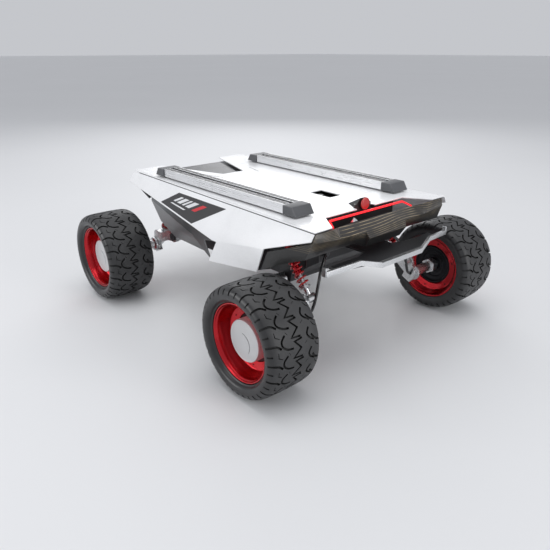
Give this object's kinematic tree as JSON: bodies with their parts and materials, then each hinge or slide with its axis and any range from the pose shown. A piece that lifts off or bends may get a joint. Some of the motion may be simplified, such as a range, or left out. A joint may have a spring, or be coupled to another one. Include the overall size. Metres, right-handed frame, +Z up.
{
  "type": "four wheel robot chassis",
  "caption": "Low wheeled robot chassis with a flat slotted-rail deck, folded white cover, and hub-motor wheels on sprung rocker arms with coil dampers.",
  "frame": {"origin": "on the ground, half way between the axles, on the plane of symmetry", "axes": "+X forward (the end with the light strip and the bumper), +Y to the chassis's left, +Z up"},
  "size_m": [0.6208, 0.5472, 0.248],
  "materials": {
    "white_sheet": "gloss white paint",
    "black_shell": "satin black",
    "skirt_grey": "satin grey",
    "rail_metal": "satin anodised",
    "dark_plastic": "matt dark grey",
    "tyre_rubber": "rubber",
    "red_anodised": "red anodised",
    "silver_metal": "satin",
    "cap_metal": "satin",
    "motor_black": "black anodised",
    "arm_black": "satin black",
    "spring_red": "gloss red",
    "led_red": "red lit strip",
    "button_red": "red",
    "battery": "matt"
  },
  "bodies": {
    "chassis": {"top_cover": "white_sheet", "side_panel_left": "white_sheet", "side_panel_right": "white_sheet", "skirt_left": "skirt_grey", "skirt_right": "skirt_grey", "hull_tub": "black_shell", "battery_pack": "battery", "connector_panel": "dark_plastic", "front_panel": "black_shell", "rear_panel": "black_shell", "light_strip": "led_red", "stop_button_housing": "dark_plastic", "hatch_latch": "silver_metal", "rail_left": "rail_metal", "rail_right": "rail_metal", "end_cap_front_left": "dark_plastic", "end_cap_front_right": "dark_plastic", "end_cap_rear_left": "dark_plastic", "end_cap_rear_right": "dark_plastic", "bumper_bar": "silver_metal", "bumper_mount": "arm_black", "suspension_carrier_front": "arm_black", "suspension_carrier_rear": "arm_black"},
    "stop_button": {"stop_button": "button_red"},
    "arm_front_right": {"rocker_arm_front_right": "silver_metal", "axle_front_right": "silver_metal"},
    "wheel_front_right": {"tyre_front_right": "tyre_rubber", "rim_front_right": "red_anodised", "hub_motor_front_right": "motor_black", "hub_cap_front_right": "cap_metal"},
    "damper_front_right": {"shock_body_front_right": "red_anodised", "shock_spring_front_right": "spring_red"},
    "damper_rod_front_right": {"shock_rod_front_right": "silver_metal"},
    "arm_front_left": {"rocker_arm_front_left": "silver_metal", "axle_front_left": "silver_metal"},
    "wheel_front_left": {"tyre_front_left": "tyre_rubber", "rim_front_left": "red_anodised", "hub_motor_front_left": "motor_black", "hub_cap_front_left": "cap_metal"},
    "damper_front_left": {"shock_body_front_left": "red_anodised", "shock_spring_front_left": "spring_red"},
    "damper_rod_front_left": {"shock_rod_front_left": "silver_metal"},
    "arm_rear_right": {"rocker_arm_rear_right": "silver_metal", "axle_rear_right": "silver_metal"},
    "wheel_rear_right": {"tyre_rear_right": "tyre_rubber", "rim_rear_right": "red_anodised", "hub_motor_rear_right": "motor_black", "hub_cap_rear_right": "cap_metal"},
    "damper_rear_right": {"shock_body_rear_right": "red_anodised", "shock_spring_rear_right": "spring_red"},
    "damper_rod_rear_right": {"shock_rod_rear_right": "silver_metal"},
    "arm_rear_left": {"rocker_arm_rear_left": "silver_metal", "axle_rear_left": "silver_metal"},
    "wheel_rear_left": {"tyre_rear_left": "tyre_rubber", "rim_rear_left": "red_anodised", "hub_motor_rear_left": "motor_black", "hub_cap_rear_left": "cap_metal"},
    "damper_rear_left": {"shock_body_rear_left": "red_anodised", "shock_spring_rear_left": "spring_red"},
    "damper_rod_rear_left": {"shock_rod_rear_left": "silver_metal"}
  },
  "joints": [
    {"name": "stop_button_press", "type": "slide", "parent": "chassis", "child": "stop_button", "axis": [-1, 0, 0], "range_m": [0, 0.0035], "stiffness_N_per_m": 600, "springref_m": -0.001},
    {"name": "arm_swing_front_right", "type": "hinge", "parent": "chassis", "child": "arm_front_right", "pos_m": [0.15, -0.1328, 0.118], "axis": [0, -1, 0], "range_deg": [-7, 7], "stiffness_Nm_per_rad": 90, "springref_deg": -1.59},
    {"name": "wheel_spin_front_right", "type": "hinge", "parent": "arm_front_right", "child": "wheel_front_right", "pos_m": [0.226, -0.228, 0.0844], "axis": [0, 1, 0], "continuous": true},
    {"name": "damper_swing_front_right", "type": "hinge", "parent": "chassis", "child": "damper_front_right", "pos_m": [0.164, -0.119, 0.1775], "axis": [0, -1, 0], "range_deg": [-4.1, 4.1]},
    {"name": "damper_stroke_front_right", "type": "slide", "parent": "damper_front_right", "child": "damper_rod_front_right", "axis": [0.6178, 0, -0.7863], "range_m": [-0.006, 0.006], "deforming": ["shock_spring_front_right"]},
    {"name": "arm_swing_front_left", "type": "hinge", "parent": "chassis", "child": "arm_front_left", "pos_m": [0.15, 0.1328, 0.118], "axis": [0, -1, 0], "range_deg": [-7, 7], "stiffness_Nm_per_rad": 90, "springref_deg": -1.59},
    {"name": "wheel_spin_front_left", "type": "hinge", "parent": "arm_front_left", "child": "wheel_front_left", "pos_m": [0.226, 0.228, 0.0844], "axis": [0, 1, 0], "continuous": true},
    {"name": "damper_swing_front_left", "type": "hinge", "parent": "chassis", "child": "damper_front_left", "pos_m": [0.164, 0.119, 0.1775], "axis": [0, -1, 0], "range_deg": [-4.1, 4.1]},
    {"name": "damper_stroke_front_left", "type": "slide", "parent": "damper_front_left", "child": "damper_rod_front_left", "axis": [0.6178, 0, -0.7863], "range_m": [-0.006, 0.006], "deforming": ["shock_spring_front_left"]},
    {"name": "arm_swing_rear_right", "type": "hinge", "parent": "chassis", "child": "arm_rear_right", "pos_m": [-0.15, -0.1328, 0.118], "axis": [0, 1, 0], "range_deg": [-7, 7], "stiffness_Nm_per_rad": 90, "springref_deg": -1.59},
    {"name": "wheel_spin_rear_right", "type": "hinge", "parent": "arm_rear_right", "child": "wheel_rear_right", "pos_m": [-0.226, -0.228, 0.0844], "axis": [0, 1, 0], "continuous": true},
    {"name": "damper_swing_rear_right", "type": "hinge", "parent": "chassis", "child": "damper_rear_right", "pos_m": [-0.164, -0.119, 0.1775], "axis": [0, 1, 0], "range_deg": [-4.1, 4.1]},
    {"name": "damper_stroke_rear_right", "type": "slide", "parent": "damper_rear_right", "child": "damper_rod_rear_right", "axis": [-0.6178, 0, -0.7863], "range_m": [-0.006, 0.006], "deforming": ["shock_spring_rear_right"]},
    {"name": "arm_swing_rear_left", "type": "hinge", "parent": "chassis", "child": "arm_rear_left", "pos_m": [-0.15, 0.1328, 0.118], "axis": [0, 1, 0], "range_deg": [-7, 7], "stiffness_Nm_per_rad": 90, "springref_deg": -1.59},
    {"name": "wheel_spin_rear_left", "type": "hinge", "parent": "arm_rear_left", "child": "wheel_rear_left", "pos_m": [-0.226, 0.228, 0.0844], "axis": [0, 1, 0], "continuous": true},
    {"name": "damper_swing_rear_left", "type": "hinge", "parent": "chassis", "child": "damper_rear_left", "pos_m": [-0.164, 0.119, 0.1775], "axis": [0, 1, 0], "range_deg": [-4.1, 4.1]},
    {"name": "damper_stroke_rear_left", "type": "slide", "parent": "damper_rear_left", "child": "damper_rod_rear_left", "axis": [-0.6178, 0, -0.7863], "range_m": [-0.006, 0.006], "deforming": ["shock_spring_rear_left"]}
  ],
  "couplings": [
    {"joint": "damper_swing_front_right", "follows": "arm_swing_front_right", "ratio": 0.572},
    {"joint": "damper_stroke_front_right", "follows": "arm_swing_front_right", "m_per_rad": -0.0477},
    {"joint": "damper_swing_front_left", "follows": "arm_swing_front_left", "ratio": 0.572},
    {"joint": "damper_stroke_front_left", "follows": "arm_swing_front_left", "m_per_rad": -0.0477},
    {"joint": "damper_swing_rear_right", "follows": "arm_swing_rear_right", "ratio": 0.572},
    {"joint": "damper_stroke_rear_right", "follows": "arm_swing_rear_right", "m_per_rad": -0.0477},
    {"joint": "damper_swing_rear_left", "follows": "arm_swing_rear_left", "ratio": 0.572},
    {"joint": "damper_stroke_rear_left", "follows": "arm_swing_rear_left", "m_per_rad": -0.0477}
  ]
}
